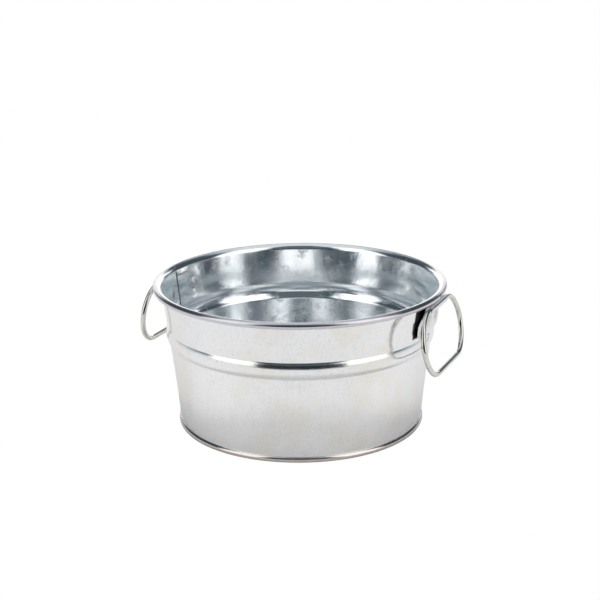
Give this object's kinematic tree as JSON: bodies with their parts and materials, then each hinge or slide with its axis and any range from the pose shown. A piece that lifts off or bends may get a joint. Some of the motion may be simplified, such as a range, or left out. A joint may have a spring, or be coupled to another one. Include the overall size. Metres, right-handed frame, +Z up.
{
  "type": "florist bucket",
  "caption": "Low round galvanised tub with a rolled rim, a raised bead, a double-seamed bottom and wire ring handles hinged in spot-welded brackets.",
  "frame": {"origin": "centre of the base plane, on the tub's axis where the bottom seam rests", "axes": "+Z up along the tub's axis, +X through the right-hand bracket, -X through the left-hand one, Y along the hinge lines"},
  "size_m": [0.1705, 0.16, 0.0793],
  "materials": {
    "galvanised_sheet": "bright zinc-coated sheet, smooth, with faint rolling streaks and soft mottling",
    "bracket_sheet": "bright zinc-coated strip, smooth",
    "handle_wire": "plated round wire, glossy, slightly warm",
    "spot_weld": "heat-tinted weld spots, slightly rough",
    "seam_sealant": "matt sealing compound, hidden in the bottom seam"
  },
  "bodies": {
    "tub": {"tub_wall": "galvanised_sheet", "bottom_pan": "galvanised_sheet", "seam_sealant": "seam_sealant", "bracket_right": "bracket_sheet", "bracket_left": "bracket_sheet", "weld_right_front": "spot_weld", "weld_right_back": "spot_weld", "weld_left_front": "spot_weld", "weld_left_back": "spot_weld"},
    "handle_right": {"ring_right": "handle_wire"},
    "handle_left": {"ring_left": "handle_wire"}
  },
  "joints": [
    {"name": "ring_right_hinge", "type": "hinge", "parent": "tub", "child": "handle_right", "pos_m": [0.0784, 0, 0.0735], "axis": [0, -1, 0], "range_deg": [-20, 160]},
    {"name": "ring_left_hinge", "type": "hinge", "parent": "tub", "child": "handle_left", "pos_m": [-0.0784, 0, 0.0735], "axis": [0, 1, 0], "range_deg": [-17, 163]}
  ]
}
